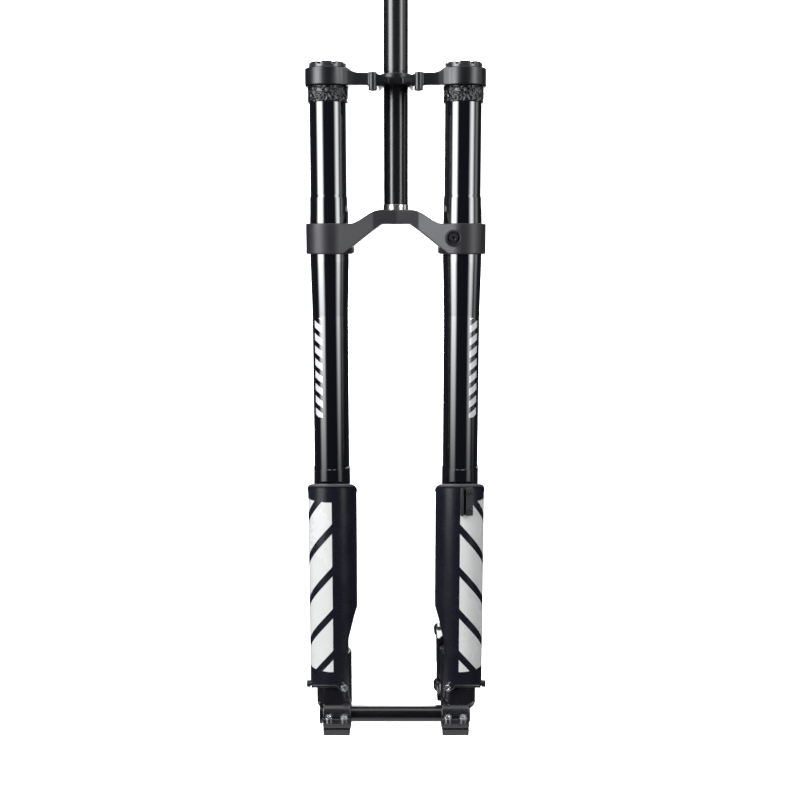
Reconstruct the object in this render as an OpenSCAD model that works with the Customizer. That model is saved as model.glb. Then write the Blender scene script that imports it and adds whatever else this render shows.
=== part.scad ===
// Inverted dual-crown suspension fork for a downhill bicycle.
// Millimetres. The origin is on the steerer axis, level with the crown race seat.
// +Z runs up the steerer, -Y is the front of the bicycle and +X is the rider's left.

/* [Steerer] */
// Outside diameter of the steerer tube
steerer_d = 28.6; // [25.4:0.1:34.4]
// Wall of the steerer tube
steerer_wall = 2.3; // [1.5:0.1:3.5]
// Length of the steerer above the crown race seat
steerer_length = 255; // [200:1:320]
// Step from the steerer out to the crown race seat
race_step = 0.7; // [0.5:0.05:1]
// Height of the crown race seat
race_h = 6.7; // [4:0.1:9]

/* [Layout] */
// Distance between the two leg axes
leg_spacing = 152; // [130:1:185]
// Distance that the leg axes sit ahead of the steerer axis
leg_offset = 40; // [34:1:50]
// Distance from the crown race seat down to the axle
axle_to_crown = 606; // [505:1:730]
// Wheel travel
travel = 203; // [160:1:245]

/* [Upper crown] */
// Height of its underside above the crown race seat
upper_crown_z = 134.6; // [110:0.1:162]
// Height of its leg clamps
upper_clamp_h = 19.4; // [16:0.1:24]
// Wall of its leg clamps
upper_clamp_wall = 4.4; // [3.6:0.1:5.4]
// Height of the arms between the clamps
upper_arm_h = 14; // [13:0.5:16]
// Sideways pitch of the stem bolts
stem_pitch_x = 50.8; // [42:0.1:61]
// Fore and aft pitch of the stem bolts
stem_pitch_y = 28.6; // [24:0.1:35]
// Diameter of a stem bolt's tapped hole
stem_hole_d = 5; // [4:0.1:6]

/* [Lower crown] */
// Height of its leg clamps
lower_clamp_h = 34.4; // [28:0.1:42]
// Drop from the crown race seat to the top of the clamps
lower_clamp_drop = 15.6; // [12:0.1:20]
// Wall of its leg clamps
lower_clamp_wall = 4.6; // [3.8:0.1:5.6]
// Height of the hub around the steerer
hub_h = 16; // [13:0.5:20]

/* [Outer tubes] */
// Outside diameter above the lower crown
tube_top_d = 42; // [41:0.1:50]
// Radial swell of the tube where the lower crown grips it
tube_swell = 1.25; // [0.5:0.05:2]
// Outside diameter below the taper
tube_low_d = 41.5; // [41:0.1:49]
// Bore of the outer tube
tube_bore_d = 38; // [37.5:0.1:39]
// Radial step of the collar at its lower end
collar_step = 0.75; // [0.5:0.05:1.5]
// Height of that collar
collar_h = 19.5; // [16:0.5:24]

/* [Inner legs] */
// Outside diameter of an inner leg
leg_d = 36; // [35:0.1:36.4]
// Wall of an inner leg
leg_wall = 1.8; // [1.2:0.1:2.4]

/* [Wheel end] */
// Diameter of the axle
axle_d = 20; // [15:0.1:24]
// Wall of the hollow axle
axle_wall = 3; // [2:0.1:4]
// Gap between the feet, which takes the hub
hub_gap = 110; // [100:1:132]
// Width of a foot's axle clamp
foot_w = 33.5; // [28:0.5:40]
// Pitch of the two brake posts
post_pitch = 74.2; // [62:0.1:89]
// Diameter of a brake post's tapped hole
post_hole_d = 5; // [4:0.1:6]

/* [Leg guards] */
// Outside radius of a guard's rounded front
guard_r = 29; // [27:0.5:34]
// Wall of a guard
guard_wall = 2.2; // [1.8:0.1:2.8]
// Length of a guard
guard_h = 252; // [230:1:260]

/* [Fits] */
// Radial clearance of a shaft that runs in a bush or seal
run_fit = 0.05; // [0.02:0.01:0.1]
// Radial clearance of a screw in its hole
screw_fit = 0.1; // [0.05:0.05:0.3]
// Gap between curved parts that pass each other
free_gap = 0.3; // [0.3:0.05:0.6]
// Radial gap between pieces that are pressed or bonded together
press_gap = 0.02; // [0:0.01:0.05]

/* [Hidden] */
$fn = 96;
// How far a cutting tool runs past the face it cuts
cut = 1;

// Names of the pieces

// Steerer
steerer_r = steerer_d / 2;
race_r = steerer_r + race_step;
// Shallow rings that mark where the upper crown grips the steerer
mark_w = 0.8;
mark_depth = 0.3;
mark_margin = 2.5;

// Layout
leg_x = leg_spacing / 2;
leg_y = -leg_offset;
axle_z = -axle_to_crown;
rebound_r = 2;
axle_r = axle_d / 2;
// Metal left between the axle bore and the rebound rod behind it
axle_web = 1.7;
axle_y = leg_y - axle_r - run_fit - axle_web - rebound_r - free_gap;

// Upper crown and what it grips
upper_clamp_top = upper_crown_z + upper_clamp_h;
tube_top_r = tube_top_d / 2;
upper_clamp_r = tube_top_r + run_fit + upper_clamp_wall;
// The arms' ends stand back from the clamps' own by this much
arm_inset = 0.4;
arm_front = 15;
arm_back = 13;
steerer_clamp_wall = 5.2;
steerer_clamp_r = steerer_r + run_fit + steerer_clamp_wall;
stem_front_y = leg_y - 13;
stem_boss_r = 4.8;
stem_boss_drop = 5.6;
// The bosses stand this far above the arms
stem_boss_rise = 0.5;
// The middle of the crown sits this far above the arms' underside
middle_rise = 6;
stem_land = 9;
middle_h = upper_clamp_h - middle_rise;
stem_boss_top = upper_crown_z + upper_arm_h + stem_boss_rise;

// Lower crown
clamp_tube_r = tube_top_r + tube_swell;
lower_clamp_r = clamp_tube_r + press_gap + lower_clamp_wall;
lower_clamp_top = -lower_clamp_drop;
lower_clamp_bottom = lower_clamp_top - lower_clamp_h;
hub_r = steerer_r + 9.7;
// The arch under the crown falls away from the hub by arch_rate * x ^ arch_power
arch_start = 16;
arch_rate = 0.6;
arch_power = 1.075;
arch_steps = 8;
// The arch runs into the clamp as far as this from the leg axis
arch_end = 10;
shoulder_start = 18;
lug_slot = 1.6;
// A lug's ends stand back from the clamp's own by this much
lug_inset = 0.5;
lug_half = 9;
lower_lug_reach = lower_clamp_r + 8;
lower_lug_angle = 125;
upper_lug_reach = upper_clamp_r + 9;
upper_lug_angle = 90;
steerer_lug_reach = steerer_clamp_r + 9;

// Outer tubes: from the top cap down to the collar
cap_top = upper_clamp_top + 6;
tube_top = upper_clamp_top - 4;
plug_h = 22;
plug_bottom = tube_top - plug_h;
tube_bore_r = tube_bore_d / 2;
tube_low_r = tube_low_d / 2;
// Above the lower crown the tube narrows slowly to swell_top, then quickly over swell_h
swell_top = 13;
swell_h = 3;
swell_edge_r = clamp_tube_r - tube_swell * 0.45;
taper_top = lower_clamp_bottom - 9;
taper_h = 61;
foot_top = axle_z + 76;
// Room left between the collar and the foot at the end of the travel
bottom_gap = 8;
tube_end = foot_top + travel + bottom_gap;
collar_r = tube_low_r + collar_step;
pocket_depth = 22;
pocket_r = tube_bore_r + 1.05;

// Inner legs
leg_r = leg_d / 2;
leg_bore_r = leg_r - leg_wall;
// Room left above the inner leg at the end of the travel
top_gap = 25;
leg_top = plug_bottom - travel - top_gap;
socket_depth = 52;
leg_bottom = foot_top - socket_depth;
leg_plug_h = 20;
leg_plug_top = leg_bottom + leg_plug_h;

// Bushes and seals, from the collar upwards
bush_h = 16;
lower_bush_z = tube_end + pocket_depth + 10;
upper_bush_z = leg_top - 45;
wiper_lip = 1.5;
wiper_h = 7.5;
clip_z = tube_end + wiper_h + 0.7;
clip_h = 1.6;
oil_seal_z = clip_z + clip_h + 0.6;
oil_seal_h = 9.6;

// Frame bumpers
bumper_h = 17.6;
bumper_wall = 2;

// Top caps and dials
cap_r = tube_top_r - run_fit;
recess_r = 13.2;
recess_depth = 8;
recess_floor = cap_top - recess_depth;
notch_count = 8;
notch_w = 5;
notch_depth = 3;
notch_inner_r = 16.5;
valve_r = 3.85;
valve_top = recess_floor + 5.5;
valve_bottom = plug_bottom + 13;
valve_cap_r = 5.2;
valve_cap_top = cap_top + 1.5;
dial_boss_r = 5;
dial_boss_h = 3.5;
dial_stem_r = 2.5;
high_dial_r = recess_r - free_gap;
high_dial_h = 6;
low_dial_r = 7.6;
low_dial_h = 3.7;
dial_notches = 12;

// Air spring, in the left leg
rod_r = 5;
rod_bore_r = 2.5;
seal_head_h = 24;
seal_head_lip = 3;
air_bumper_h = 10;
air_piston_h = 20;
air_piston_top = leg_top - seal_head_h - air_bumper_h - 4;
bottom_bumper_h = 18;
bottom_bumper_r = 12;
piston_groove = 2;

// Damper, in the right leg
damper_r = 14;
damper_wall = 1.5;
damper_bore_r = damper_r - damper_wall;
damper_end = leg_top - 90;
damper_head_h = 18;
damper_piston_h = 16;
damper_piston_z = damper_end + damper_head_h + 6;
rebound_bumper_h = 5;
valve_body_h = 18;
valve_body_top = plug_bottom - 10;

// Feet
foot_r = leg_r + press_gap + 3.5;
foot_in = hub_gap / 2;
foot_bottom = axle_z - 2;
foot_round = 12;
// Flat pad on the front of a foot, between the guard and the axle clamp
pad_w = 24;
pad_reach = leg_r + 5;
pad_bevel = 3;
pad_gap = 2;
barrel_r = axle_r + 7.5;
slot_tilt = 20;
slot_w = 2;
ear_reach = axle_r + 15;
ear_inset = 0.6;
ear_up = 7;
ear_down = 11.5;
pinch_d = 5;
pinch_from_axle = axle_r + 6;
pinch_inset = 7.5;
pinch_len = ear_up + ear_down - 3;
// Room around and over a pinch bolt's head
head_room = 0.4;
pocket_h = 12;
axle_head_r = axle_r + 2.5;
axle_head_h = 3;
axle_end_x = leg_x + 14;
hub_groove = 0.8;
hub_groove_depth = 0.3;
// The hub's stretch of the axle stops this far inside each foot's face
hub_margin = 0.2;
knob_r = 8.5;
knob_h = 6.5;
knob_top = axle_z - axle_r - 1;

// Brake posts, on the left foot
post_r = 6.5;
post_x = foot_in - 1;
post_face = leg_y + 52;
post_len = 15;
post_top_z = axle_z + 84;
post_low_z = post_top_z - post_pitch;
post_hole_depth = 13;

// Leg guards
// Height of a guard's lower edge above the axle
guard_rise = 40;
guard_bottom = axle_z + guard_rise;
guard_top = guard_bottom + guard_h;
guard_back = 6;
guard_in = guard_r - guard_wall;
step_bottom = guard_bottom + 55;
step_top = guard_bottom + 92;
step_x = leg_r + 0.5;
rim_h = 5;
rim_step = 0.6;
top_round = 7;
// The upper and lower edges fall towards the back at these rates, the lower one on the outer half only
top_slope = 0.25;
bottom_slope = 0.47;
skirt_drop = 13.8;
// The guard's two bolts: direction about the leg axis, and height from the guard's lower edge
guard_bolt_places = [[0, -8], [245, 0]];
// Half the width of the tab around a bolt
guard_tab_r = 5.8;
guard_bolt_d = 5;
guard_boss_r = 4.2;
// The guard's walls are round and what meets them is flat, so these gaps clear the curve
guard_head_gap = 0.35;
guard_boss_gap = 0.4;
clip_angle = -79;
hose_r = 2.6;
hose_clip_w = 14;
hose_clip_h = 33;
hose_clip_t = 6;
hose_clip_z = guard_top - 4 - hose_clip_h;
clip_screw_d = 3;

// ---------- shared shapes ----------

module on_left() { children(); }
module on_right() { mirror([1, 0, 0]) children(); }
module both_sides() {
    on_left() children();
    on_right() children();
}

// Moves its children to the left leg's axis
module at_leg() { translate([leg_x, leg_y, 0]) children(); }

// Turns the Z axis to point along +X
module along_x() { rotate([0, 90, 0]) children(); }

// Turns the Z axis to point along +Y
module along_y() { rotate([-90, 0, 0]) children(); }

// Moves its children to the axle axis and tilts them with the clamp slot
module at_slot() {
    translate([0, axle_y, axle_z])
        rotate([slot_tilt, 0, 0])
            children();
}

module rod(r, z0, z1) {
    translate([0, 0, z0])
        cylinder(h = z1 - z0, r = r);
}

module ring(r_out, r_in, z0, z1) {
    difference() {
        rod(r_out, z0, z1);
        rod(r_in, z0 - cut, z1 + cut);
    }
}

// A socket-head screw: its head starts at z = 0 and its shank runs down from there
function screw_head_r(d) = 0.85 * d;

module cap_screw(d, len) {
    difference() {
        union() {
            rod(screw_head_r(d), 0, 0.9 * d);
            rod(d / 2, -len, 0.1);
        }
        translate([0, 0, 0.4 * d])
            cylinder(h = d, r = 0.48 * d, $fn = 6);
    }
}

// A split lug that stands out from a clamp along +X
module lug(reach, half, h) {
    translate([0, -half, lug_inset])
        cube([reach, 2 * half, h - 2 * lug_inset]);
}

module lug_slot_cut(reach, h) {
    translate([0, -lug_slot / 2, -cut])
        cube([reach + cut, lug_slot, h + 2 * cut]);
}

// Clearance hole for a screw across a lug, with its axis along Y
module cross_hole(d, x, z, half) {
    translate([x, -half - cut, z])
        along_y() cylinder(h = 2 * (half + cut), r = d / 2 + screw_fit);
}

// ---------- steerer and crowns ----------

module steerer_tube() {
    color("dimgray")
    difference() {
        union() {
            rod(steerer_r, -hub_h, steerer_length);
            rod(race_r, 0, race_h);
        }
        rod(steerer_r - steerer_wall, -hub_h - cut, steerer_length + cut);
        for (z = [upper_crown_z - mark_margin, upper_clamp_top + mark_margin])
            ring(steerer_r + cut, steerer_r - mark_depth, z - mark_w / 2, z + mark_w / 2);
    }
}

// Height of the lower crown's top edge at a distance x from the middle
function shoulder_z(x) =
    let (t = min(1, max(0, (x - shoulder_start) / (leg_x - lower_clamp_r + 5 - shoulder_start))))
    -(lower_clamp_drop + lug_inset) * (1 - cos(180 * t)) / 2;

// Height of its lower edge at a distance x from the middle
function arch_z(x) =
    max(lower_clamp_bottom + lug_inset, -hub_h - arch_rate * pow(max(0, x - arch_start), arch_power));

// Where a line from p touches a circle of radius r about c, on the circle's front side
function front_touch(p, c, r) =
    let (d = c - p, a = atan2(d[1], d[0]) - asin(r / norm(d)))
    p + sqrt(d * d - r * r) * [cos(a), sin(a)];

// Front outline of one half of the lower crown's arch
function arch_outline() =
    let (x_end = leg_x - arch_end)
    concat(
        [[-cut, 0]],
        [for (i = [0:arch_steps])
            let (x = shoulder_start + (x_end - shoulder_start) * i / arch_steps)
            [x, shoulder_z(x)]],
        [for (i = [arch_steps:-1:0])
            let (x = arch_start + (x_end - arch_start) * i / arch_steps)
            [x, arch_z(x)]],
        [[-cut, -hub_h]]
    );

// Plan outline of one half of it
function arch_plan() = [
    [-cut, hub_r - 3], [hub_r - 6, hub_r - 6],
    [leg_x - clamp_tube_r, leg_y + 17], [leg_x, leg_y + 17],
    [leg_x, leg_y], front_touch([hub_r + 2, leg_y - 4], [leg_x, leg_y], lower_clamp_r - 0.3),
    [hub_r + 2, leg_y - 4], [-cut, leg_y]
];

module arch_half() {
    intersection() {
        translate([0, 100, 0])
            rotate([90, 0, 0])
                linear_extrude(height = 200)
                    polygon(arch_outline());
        translate([0, 0, -100])
            linear_extrude(height = 200)
                polygon(arch_plan());
    }
}

module lower_lug_place() {
    at_leg()
        rotate([0, 0, lower_lug_angle])
            translate([0, 0, lower_clamp_bottom])
                children();
}

// Where the hose guide screws onto the left clamp
guide_x = leg_x - 11.3;
guide_z = lower_clamp_top - lower_clamp_h / 2 + 1;
guide_face = leg_y - lower_clamp_r + 0.4;
guide_seat_depth = 2.6;
guide_hole_depth = 5.4;

module lower_crown() {
    color([0.09, 0.09, 0.1])
    difference() {
        union() {
            both_sides() {
                arch_half();
                at_leg() rod(lower_clamp_r, lower_clamp_bottom, lower_clamp_top);
                lower_lug_place() lug(lower_lug_reach, lug_half, lower_clamp_h);
            }
            rod(hub_r, -hub_h, 0);
            translate([guide_x, guide_face, guide_z])
                along_y() cylinder(h = 12, r = 8.5);
        }
        rod(steerer_r + press_gap, -hub_h - cut, cut);
        both_sides() {
            at_leg() rod(clamp_tube_r + press_gap, lower_clamp_bottom - cut, cut);
            lower_lug_place() {
                lug_slot_cut(lower_lug_reach, lower_clamp_h);
                for (z = lower_lug_bolts) cross_hole(lug_bolt_d, lower_lug_bolt_x, z, lug_half);
            }
        }
        translate([guide_x, guide_face - cut, guide_z])
            along_y() cylinder(h = guide_seat_depth + cut, r = 7);
        translate([guide_x, guide_face - cut, guide_z])
            along_y() cylinder(h = guide_hole_depth + cut, r = 2.5 + screw_fit);
    }
}

lug_bolt_d = 5;
lower_lug_bolt_x = lower_lug_reach - 4.6;
lower_lug_bolts = [8, lower_clamp_h / 2 + 8];

module lower_crown_bolts() {
    color("silver")
    both_sides()
        lower_lug_place()
            for (z = lower_lug_bolts)
                translate([lower_lug_bolt_x, -lug_half, z])
                    rotate([90, 0, 0]) cap_screw(lug_bolt_d, 2 * lug_half - 1);
}

module hose_guide_screw() {
    color("dimgray")
    translate([guide_x, guide_face + guide_seat_depth, guide_z])
        rotate([90, 0, 0])
            cap_screw(5, guide_hole_depth - guide_seat_depth - 0.3);
}

// Plan outline of one half of the upper crown
function upper_plan() = [
    [-cut, 3], [steerer_clamp_r - 1, 3],
    [stem_pitch_x / 2 + stem_land, stem_front_y + stem_pitch_y + 6],
    [stem_pitch_x / 2 + stem_land, leg_y + arm_back],
    [leg_x - tube_top_r, leg_y + arm_back + 4], [leg_x, leg_y + arm_back + 4],
    [leg_x, leg_y],
    for (i = [0:4])
        [leg_x - 11 - 6 * i, leg_y - arm_front - 7.6 * pow(1 - i / 4, 2)],
    [stem_pitch_x / 2 - 2, leg_y - arm_front],
    [steerer_clamp_r / 2 - 1, -steerer_clamp_r], [-cut, -steerer_clamp_r]
];

// Front outline of one half of it: the arm rises to the clamp near the tube
function upper_front() = [
    [-cut, middle_rise], [steerer_r, middle_rise], [stem_pitch_x / 2 - stem_boss_r - 1, arm_inset],
    [leg_x, arm_inset], [leg_x, upper_clamp_h - arm_inset],
    [leg_x - upper_clamp_r + 3, upper_clamp_h - arm_inset],
    for (i = [1:4])
        [leg_x - upper_clamp_r + 3 - 3 * i, upper_arm_h + (upper_clamp_h - arm_inset - upper_arm_h) * pow(1 - i / 4, 2)],
    [-cut, upper_arm_h]
];

module upper_arm_half() {
    intersection() {
        translate([0, 100, upper_crown_z])
            rotate([90, 0, 0])
                linear_extrude(height = 200)
                    polygon(upper_front());
        translate([0, 0, upper_crown_z - cut])
            linear_extrude(height = upper_clamp_h + 2 * cut)
                polygon(upper_plan());
    }
}

module at_stem_bolts(rows) {
    for (x = [-1, 1], row = rows)
        translate([x * stem_pitch_x / 2, stem_front_y + row * stem_pitch_y, 0])
            children();
}

module upper_lug_place() {
    at_leg()
        rotate([0, 0, upper_lug_angle])
            translate([0, 0, upper_crown_z])
                children();
}

module steerer_lug_place() {
    rotate([0, 0, 90])
        translate([0, 0, upper_crown_z + middle_rise])
            children();
}

module upper_crown() {
    color([0.1, 0.1, 0.11])
    difference() {
        union() {
            both_sides() {
                upper_arm_half();
                at_leg() rod(upper_clamp_r, upper_crown_z, upper_clamp_top);
                upper_lug_place() lug(upper_lug_reach, lug_half, upper_clamp_h);
            }
            rod(steerer_clamp_r, upper_crown_z + middle_rise + arm_inset, upper_clamp_top);
            steerer_lug_place() lug(steerer_lug_reach, lug_half, middle_h);
            at_stem_bolts([0, 1]) rod(stem_boss_r, upper_crown_z + 1, stem_boss_top);
            at_stem_bolts([0]) rod(stem_boss_r, upper_crown_z - stem_boss_drop, upper_crown_z + 2);
        }
        rod(steerer_r + run_fit, upper_crown_z - cut, upper_clamp_top + cut);
        both_sides() {
            at_leg() rod(tube_top_r + run_fit, upper_crown_z - cut, upper_clamp_top + cut);
            upper_lug_place() {
                lug_slot_cut(upper_lug_reach, upper_clamp_h);
                cross_hole(lug_bolt_d, upper_lug_reach - 4.6, upper_clamp_h / 2, lug_half);
            }
        }
        steerer_lug_place() {
            lug_slot_cut(steerer_lug_reach, middle_h);
            cross_hole(lug_bolt_d, steerer_lug_reach - 4.6, middle_h / 2, lug_half);
        }
        at_stem_bolts([0, 1])
            rod(stem_hole_d / 2, upper_crown_z - stem_boss_drop - cut, upper_clamp_top + cut);
    }
}

module upper_crown_bolts() {
    color("silver") {
        both_sides()
            upper_lug_place()
                translate([upper_lug_reach - 4.6, lug_half, upper_clamp_h / 2])
                    along_y() cap_screw(lug_bolt_d, 2 * lug_half - 1);
        steerer_lug_place()
            translate([steerer_lug_reach - 4.6, lug_half, middle_h / 2])
                along_y() cap_screw(lug_bolt_d, 2 * lug_half - 1);
    }
}

// ---------- outer tubes and what they carry ----------

module outer_tube() {
    color([0.04, 0.04, 0.05])
    at_leg()
        rotate_extrude()
            polygon([
                [pocket_r, tube_end], [collar_r, tube_end],
                [collar_r, tube_end + collar_h], [tube_low_r, tube_end + collar_h + 0.6],
                [tube_low_r, taper_top - taper_h], [clamp_tube_r, taper_top],
                [clamp_tube_r, lower_clamp_top + 1], [swell_edge_r, swell_top],
                [tube_top_r, swell_top + swell_h],
                [tube_top_r, tube_top], [tube_bore_r, tube_top],
                [tube_bore_r, tube_end + pocket_depth], [pocket_r, tube_end + pocket_depth]
            ]);
}

module frame_bumper() {
    color([0.13, 0.13, 0.13])
    at_leg()
        ring(tube_top_r + bumper_wall, tube_top_r + press_gap,
             upper_crown_z - bumper_h, upper_crown_z);
}

module bushing(z) {
    color("darkgoldenrod")
    at_leg()
        ring(tube_bore_r - press_gap, leg_r + run_fit, z, z + bush_h);
}

module oil_seal() {
    color([0.1, 0.2, 0.35])
    at_leg()
        ring(pocket_r - press_gap, leg_r + run_fit, oil_seal_z, oil_seal_z + oil_seal_h);
}

module seal_clip() {
    color("silver")
    at_leg()
        ring(pocket_r - press_gap, leg_r + 0.7, clip_z, clip_z + clip_h);
}

module dust_wiper() {
    color([0.06, 0.06, 0.06])
    at_leg()
        difference() {
            union() {
                rod(collar_r, tube_end - wiper_lip, tube_end);
                rod(pocket_r - press_gap, tube_end - cut, tube_end + wiper_h);
            }
            rod(leg_r + run_fit, tube_end - wiper_lip - cut, tube_end + wiper_h + cut);
        }
}

// The part of a top cap that both legs share
module cap_body() {
    difference() {
        union() {
            rod(cap_r, tube_top, cap_top);
            rod(tube_bore_r - press_gap, plug_bottom, tube_top + 0.1);
        }
        rod(recess_r, recess_floor, cap_top + cut);
        for (i = [0:notch_count - 1])
            rotate([0, 0, (i + 0.5) * 360 / notch_count])
                translate([notch_inner_r, -notch_w / 2, cap_top - notch_depth])
                    cube([cap_r, notch_w, notch_depth + cut]);
    }
}

module air_top_cap() {
    color([0.08, 0.08, 0.09])
    at_leg()
        difference() {
            cap_body();
            rod(valve_r + press_gap, plug_bottom, recess_floor + cut);
            rod(rod_r + press_gap, plug_bottom - cut, valve_bottom - 1);
        }
}

module air_valve() {
    color("goldenrod")
    at_leg()
        difference() {
            rod(valve_r, valve_bottom, valve_top);
            rod(1.6, valve_bottom - cut, valve_top + cut);
        }
}

module valve_cap() {
    color("black")
    at_leg()
        difference() {
            rod(valve_cap_r, recess_floor + free_gap, valve_cap_top);
            rod(valve_r + run_fit, recess_floor, valve_top + free_gap);
        }
}

module air_rod() {
    color("silver")
    at_leg()
        ring(rod_r, rod_bore_r, air_piston_top - air_piston_h, valve_bottom - 1 - press_gap);
}

module air_piston() {
    color("goldenrod")
    at_leg()
        difference() {
            rod(leg_bore_r - run_fit, air_piston_top - air_piston_h, air_piston_top);
            rod(rod_r + press_gap, air_piston_top - air_piston_h - cut, air_piston_top + cut);
            ring(leg_bore_r + cut, leg_bore_r - piston_groove,
                 air_piston_top - air_piston_h / 2 - 2, air_piston_top - air_piston_h / 2 + 2);
        }
}

module air_piston_seal() {
    color("black")
    at_leg()
        ring(leg_bore_r - run_fit, leg_bore_r - piston_groove + press_gap,
             air_piston_top - air_piston_h / 2 - 1.9, air_piston_top - air_piston_h / 2 + 1.9);
}

module bottom_out_bumper() {
    color([0.7, 0.55, 0.1])
    at_leg()
        ring(bottom_bumper_r, rod_r + press_gap, plug_bottom - bottom_bumper_h, plug_bottom);
}

module damper_top_cap() {
    color([0.08, 0.08, 0.09])
    at_leg()
        difference() {
            union() {
                cap_body();
                rod(dial_boss_r, recess_floor - cut, recess_floor + dial_boss_h);
            }
            rod(dial_stem_r + run_fit, plug_bottom - cut, recess_floor + dial_boss_h + cut);
            ring(tube_bore_r + cut, damper_bore_r - press_gap, plug_bottom - cut, plug_bottom + 10);
        }
}

module high_speed_dial() {
    color([0.7, 0.1, 0.08])
    at_leg()
        difference() {
            rod(high_dial_r, recess_floor + free_gap, recess_floor + free_gap + high_dial_h);
            rod(dial_boss_r + run_fit, recess_floor, cap_top + cut);
            rod(low_dial_r + free_gap, recess_floor + dial_boss_h, cap_top + cut);
            for (i = [0:dial_notches - 1])
                rotate([0, 0, i * 360 / dial_notches])
                    translate([high_dial_r, 0, recess_floor + 3])
                        cylinder(h = high_dial_h, r = 1.1, $fn = 24);
        }
}

module low_speed_dial() {
    dial_z = recess_floor + dial_boss_h + free_gap;
    color([0.1, 0.25, 0.6])
    at_leg()
        difference() {
            union() {
                rod(low_dial_r, dial_z, dial_z + low_dial_h);
                rod(dial_stem_r, plug_bottom - 6, dial_z + 0.1);
            }
            translate([0, 0, dial_z + 1.2])
                cylinder(h = low_dial_h, r = 3, $fn = 6);
        }
}

module damper_tube() {
    color("silver")
    at_leg()
        ring(damper_r, damper_bore_r, damper_end, plug_bottom + 10 - press_gap);
}

module compression_valve() {
    color("goldenrod")
    at_leg()
        difference() {
            rod(damper_bore_r - press_gap, valve_body_top - valve_body_h, valve_body_top);
            rod(dial_stem_r + free_gap, valve_body_top - valve_body_h / 2, valve_body_top + cut);
            for (i = [0:5])
                rotate([0, 0, 60 * i])
                    translate([8, 0, valve_body_top - valve_body_h - cut])
                        cylinder(h = valve_body_h + 2 * cut, r = 1.6, $fn = 24);
        }
}

module damper_seal_head() {
    color("silver")
    at_leg()
        ring(damper_bore_r - press_gap, rod_r + run_fit, damper_end, damper_end + damper_head_h);
}

// ---------- what moves with the wheel ----------

module inner_leg() {
    color("gray")
    at_leg() ring(leg_r, leg_bore_r, leg_bottom, leg_top);
}

module leg_plug_left() {
    color("silver")
    at_leg() rod(leg_bore_r - press_gap, leg_bottom, leg_plug_top);
}

module leg_plug_right() {
    color("silver")
    at_leg()
        difference() {
            rod(leg_bore_r - press_gap, leg_bottom, leg_plug_top);
            rod(rebound_r + free_gap, leg_bottom - cut, leg_plug_top + cut);
            rod(rod_r + press_gap, leg_plug_top - 10, leg_plug_top + cut);
        }
}

module air_seal_head() {
    color("silver")
    at_leg()
        difference() {
            union() {
                rod(leg_r - 0.2, leg_top, leg_top + seal_head_lip);
                rod(leg_bore_r - press_gap, leg_top - seal_head_h, leg_top + 0.1);
            }
            rod(rod_r + run_fit, leg_top - seal_head_h - cut, leg_top + seal_head_lip + cut);
        }
}

module air_top_out_bumper() {
    color([0.7, 0.55, 0.1])
    at_leg()
        ring(leg_bore_r - 3, rod_r + free_gap,
             leg_top - seal_head_h - air_bumper_h, leg_top - seal_head_h);
}

module damper_rod() {
    color("silver")
    at_leg() ring(rod_r, rod_bore_r, leg_plug_top - 10 + press_gap, damper_piston_z + damper_piston_h);
}

module damper_piston() {
    color("goldenrod")
    at_leg()
        difference() {
            rod(damper_bore_r - run_fit, damper_piston_z, damper_piston_z + damper_piston_h);
            rod(rod_r + press_gap, damper_piston_z - cut, damper_piston_z + damper_piston_h + cut);
            ring(damper_bore_r + cut, damper_bore_r - piston_groove,
                 damper_piston_z + 5, damper_piston_z + 11);
        }
}

module damper_piston_ring() {
    color("black")
    at_leg()
        ring(damper_bore_r - run_fit, damper_bore_r - piston_groove + press_gap,
             damper_piston_z + 5.1, damper_piston_z + 10.9);
}

module rebound_bumper() {
    color([0.7, 0.55, 0.1])
    at_leg() ring(9, rod_r + press_gap, damper_piston_z - rebound_bumper_h, damper_piston_z);
}

module rebound_rod() {
    color("silver")
    at_leg() rod(rebound_r, knob_top - knob_h + 2, damper_piston_z + damper_piston_h - 2);
}

module rebound_knob() {
    color([0.7, 0.1, 0.08])
    at_leg()
        difference() {
            rod(knob_r, knob_top - knob_h, knob_top);
            rod(rebound_r + press_gap, knob_top - knob_h + 2, knob_top + cut);
            for (i = [0:dial_notches - 1])
                rotate([0, 0, i * 360 / dial_notches])
                    translate([knob_r, 0, knob_top - knob_h - cut])
                        cylinder(h = knob_h + 2 * cut, r = 1.2, $fn = 24);
        }
}

// Leg socket of a foot, with a rounded lower end
module foot_socket() {
    at_leg()
        rotate_extrude()
            polygon(concat(
                [[0, foot_bottom], [foot_r - foot_round, foot_bottom]],
                [for (a = [-80:10:0])
                    [foot_r - foot_round * (1 - cos(a)), foot_bottom + foot_round * (1 + sin(a))]],
                [[foot_r, foot_top - 1.5], [foot_r - 1.5, foot_top], [0, foot_top]]
            ));
}

module foot_pad() {
    pad_top = guard_bottom - pad_gap;
    at_leg()
        translate([-pad_w / 2, 0, 0])
            rotate([90, 0, 90])
                linear_extrude(height = pad_w)
                    polygon([
                        [0, axle_z], [-pad_reach, axle_z + axle_r], [-pad_reach, pad_top - pad_bevel],
                        [pad_bevel - pad_reach, pad_top], [0, pad_top]
                    ]);
}

// Moves its children to a guard bolt's seat and points the Z axis outwards
module at_guard_bolts(r) {
    for (place = guard_bolt_places)
        at_leg()
            rotate([0, 0, place[0]])
                translate([r, 0, guard_bottom + place[1]])
                    along_x() children();
}

module pinch_positions() {
    for (x = [foot_in + pinch_inset, foot_in + foot_w - pinch_inset])
        at_slot()
            translate([x, -pinch_from_axle, ear_up])
                children();
}

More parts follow.
